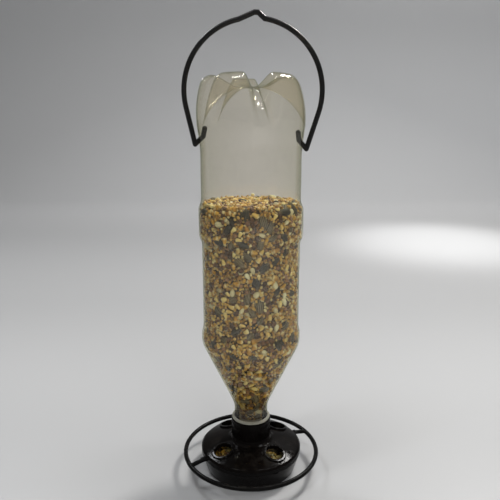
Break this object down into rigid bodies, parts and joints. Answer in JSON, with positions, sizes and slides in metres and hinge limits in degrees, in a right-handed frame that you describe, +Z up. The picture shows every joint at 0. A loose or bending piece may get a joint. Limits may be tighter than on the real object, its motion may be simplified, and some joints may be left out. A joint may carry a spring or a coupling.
{
  "type": "hanging bird feeder",
  "caption": "Upturned clear drinks bottle of mixed seed, screwed into a covered black seed tray with a round perch ring, hung by a wire bail.",
  "frame": {"origin": "on the ground under the middle of the tray", "axes": "+Z up along the bottle's axis, X along the bail's pivots, -Y the front"},
  "size_m": [0.1188, 0.1188, 0.3789],
  "materials": {
    "tray_plastic": "moulded, glossy, lightly scuffed",
    "perch_plastic": "moulded, satin",
    "cover_plastic": "moulded, glossy",
    "clear_plastic": "clear blown PET",
    "black_wire": "black coated steel wire",
    "seed": "loose dry mixed seed"
  },
  "bodies": {
    "tray": {"seed_tray": "tray_plastic", "perch_ring": "perch_plastic", "tray_seed": "seed"},
    "cover": {"base_cover": "cover_plastic"},
    "seed": {"seed_column": "seed"},
    "bottle": {"bottle": "clear_plastic"},
    "bail": {"bail_wire": "black_wire"}
  },
  "joints": [
    {"name": "cover_twist", "type": "hinge", "parent": "tray", "child": "cover", "pos_m": [0, 0, 0.018], "axis": [0, 0, 1], "range_deg": [0, 22]},
    {"name": "neck_rise", "type": "slide", "parent": "cover", "child": "seed", "axis": [0, 0, 1], "range_m": [0, 0.00635]},
    {"name": "bottle_turn", "type": "hinge", "parent": "seed", "child": "bottle", "pos_m": [0, 0, 0.046], "axis": [0, 0, 1], "range_deg": [0, 720]},
    {"name": "bail_swing", "type": "hinge", "parent": "bottle", "child": "bail", "pos_m": [0, 0, 0.2823], "axis": [0.9991, 0, -0.0419], "range_deg": [-151, 151]}
  ],
  "couplings": [
    {"joint": "bottle_turn", "follows": "neck_rise", "rad_per_m": 1978.9}
  ]
}
